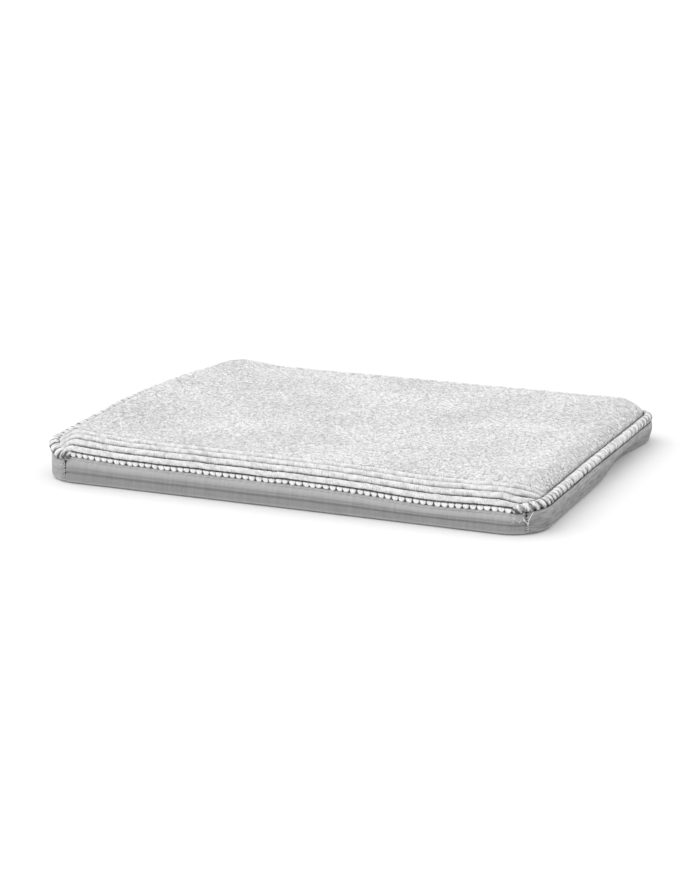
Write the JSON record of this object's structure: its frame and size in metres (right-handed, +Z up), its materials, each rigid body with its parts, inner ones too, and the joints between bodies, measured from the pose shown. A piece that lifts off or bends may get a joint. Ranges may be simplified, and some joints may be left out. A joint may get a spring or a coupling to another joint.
{
  "type": "bath mat",
  "caption": "Foam-filled plush bath mat with open tuft rows on its long sides, rolled and thread-wrapped ends, sewn side bands and a dotted grip base.",
  "frame": {"origin": "centre of the mat's box in plan, on the surface that the mat lies on", "axes": "+X along the long sides, towards the right end; +Y from the front long side to the back one; +Z up through the pile"},
  "size_m": [0.5, 0.4, 0.042],
  "materials": {
    "pile": "matte",
    "tuft_row": "matte",
    "edge_roll": "matte",
    "stitch_yarn": "matte",
    "thread": "satin",
    "side_cloth": "satin",
    "end_fleece": "matte",
    "ground_cloth": "matte",
    "base_cloth": "matte",
    "grip": "satin",
    "base_foam": "matte",
    "comfort_foam": "matte"
  },
  "bodies": {
    "root": {"base_fabric": "base_cloth", "grip_coating": "grip", "lower_foam": "base_foam", "upper_foam": "comfort_foam", "ground_fabric": "ground_cloth", "pile_field": "pile", "front_pile_row_1": "tuft_row", "front_pile_row_2": "tuft_row", "front_pile_row_3": "tuft_row", "front_pile_row_4": "tuft_row", "back_pile_row_1": "tuft_row", "back_pile_row_2": "tuft_row", "back_pile_row_3": "tuft_row", "back_pile_row_4": "tuft_row", "left_edge_roll": "edge_roll", "right_edge_roll": "edge_roll", "left_edge_wrap": "thread", "right_edge_wrap": "thread", "front_edge_stitches": "stitch_yarn", "back_edge_stitches": "stitch_yarn", "front_band": "side_cloth", "back_band": "side_cloth", "left_band": "end_fleece", "right_band": "end_fleece", "corner_seam_front_left": "thread", "corner_seam_front_right": "thread", "corner_seam_back_left": "thread", "corner_seam_back_right": "thread", "base_hem_stitching": "thread"}
  },
  "joints": []
}
